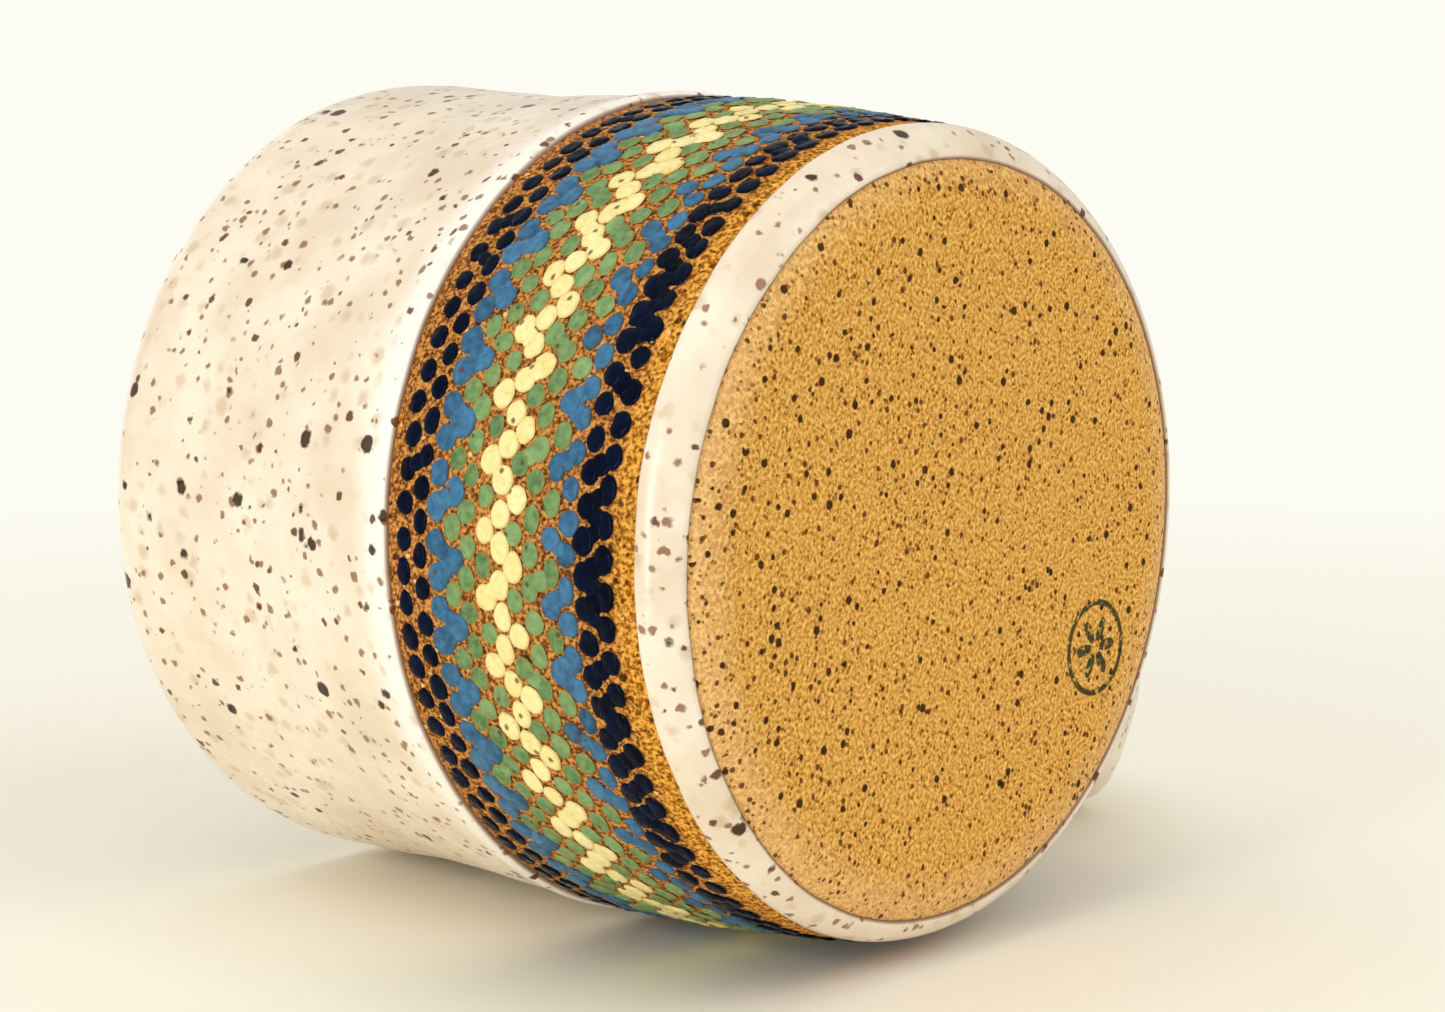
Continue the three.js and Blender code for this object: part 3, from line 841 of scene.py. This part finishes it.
# %% [markdown]
# ## Table, floor and light
# Two pale floors belong to the stage. One is the table the mug lies on, touching its wall and the edge
# of its handle; the other is the floor under its foot, for looks at it standing. Each shows only from
# its own upper side and fades out with distance, so neither hides the mug. The light is a bright soft
# room and five windows: a broad one above the lying mug, a weak one in front of it, one at its right
# that lights the foot, a tall narrow one that draws a highlight down the wall, and a weak one over
# the rim.

# %% Stage
CONTACT = 45.75  # distance of the table from the mug's axis, in millimetres
FLOOR_GAP = 0.3  # distance of the floor from the foot
STAGE_SIZE = 3.0
NEAR_FADE = 0.12  # a floor is whole out to here, in metres, and fades away beyond it
# painted shadow: the colour the floor is darkened to round the mug's foot
PAINTED_FOOT_SHADOW = "#7C766A"


def stage_floor(name, centre, up, light, far_fade, shade_to=0):
    """A one-sided plane. shade_to is a radius inside which a shadow is painted, as under a foot."""
    bpy.ops.mesh.primitive_grid_add(x_subdivisions=8, y_subdivisions=8, size=STAGE_SIZE)
    floor = bpy.context.object
    floor.name = name
    floor.matrix_world = Matrix.Translation(centre) @ up.to_track_quat("Z", "Y").to_matrix().to_4x4()
    material = bpy.data.materials.new(name)
    material.use_nodes = True
    tree = material.node_tree
    tree.nodes.clear()
    clear = put(tree, "ShaderNodeBsdfTransparent")
    place = put(tree, "ShaderNodeTexCoord").outputs["Object"]
    far = put(tree, "ShaderNodeVectorMath", {0: place}, operation="LENGTH")
    colour = linear(light)
    # painted contact shadow: the floor's colour darkens inside shade_to
    if shade_to:
        open_floor = put(tree, "ShaderNodeMapRange", {0: far, 1: shade_to * 0.9, 2: shade_to * 1.2})
        colour = put(
            tree, "ShaderNodeMix", {0: open_floor, 6: linear(PAINTED_FOOT_SHADOW), 7: colour},
            data_type="RGBA",
        )
    lit = put(tree, "ShaderNodeBsdfDiffuse", {"Color": colour})
    fade = put(tree, "ShaderNodeMapRange", {0: far, 1: NEAR_FADE, 2: far_fade})
    back = put(tree, "ShaderNodeNewGeometry").outputs["Backfacing"]
    hide = put(tree, "ShaderNodeMath", {0: fade, 1: back}, operation="MAXIMUM")
    mixed = put(tree, "ShaderNodeMixShader", {0: hide, 1: lit, 2: clear})
    put(tree, "ShaderNodeOutputMaterial", {0: mixed})
    floor.data.materials.append(material)
    floor.visible_shadow = False
    return floor


stage_floor("table", lying(CONTACT, 0, 40) * MM, -down, "#FBF8EA", 0.38)
floor = stage_floor("floor", axis * -FLOOR_GAP * MM, axis, "#FBF7EE", 0.45, 0.044)
floor.visible_diffuse = floor.visible_glossy = False

# %% Light
world = bpy.data.worlds.new("pale room")
bpy.context.scene.world = world
world.use_nodes = True
tree = world.node_tree
tree.nodes.clear()
seen = put(tree, "ShaderNodeBackground", {"Color": linear("#FDFCF2"), "Strength": 1.0})
room = put(tree, "ShaderNodeBackground", {"Color": linear("#FFFDF8"), "Strength": 0.69})
ray = put(tree, "ShaderNodeLightPath").outputs["Is Camera Ray"]
mixed = put(tree, "ShaderNodeMixShader", {0: ray, 1: room, 2: seen})
put(tree, "ShaderNodeOutputWorld", {0: mixed})
MIDDLE = Vector((0, 0, 0.04))  # every window faces the middle of the mug


def window(name, place, size, power):
    """A rectangular white light, with its size in metres and its power in watts."""
    data = bpy.data.lights.new(name, "AREA")
    data.shape, data.size, data.size_y = "RECTANGLE", size[0], size[1]
    data.energy = power
    lamp = add_object(name, data)
    turn = (place - MIDDLE).to_track_quat("Z", "Y").to_matrix().to_4x4()
    lamp.matrix_world = Matrix.Translation(place) @ turn


window("window above", lying(-0.9, 0.25, 0.1), (0.9, 0.7), 1.65)
window("window in front", lying(-0.3, 0.5, -0.75), (0.6, 0.6), 0.5)
window("window at the right", lying(-0.6, -0.25, -0.7), (0.6, 0.6), 1.6)
window("tall window", lying(-0.1, 0.95, 0.0), (0.8, 0.14), 3.5)
window("window over the rim", lying(-0.1, -0.2, 0.9), (0.6, 0.6), 0.7)

# %% [markdown]
# ## Pieces and their CAD nodes
# Each piece says which CAD node it stands for and what it rides on, and that CAD node is hidden.

# %% Ride and replace
stands_for = {
    "clay_body": clay_body, "upper_glaze": upper_glaze, "foot_glaze_ring": foot_glaze_ring,
    "liner_glaze": liner_glaze, "handle": handle, "handle_glaze": handle_glaze, **dot_pieces,
}
for node, piece in stands_for.items():
    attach(piece, "root")
    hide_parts(node)
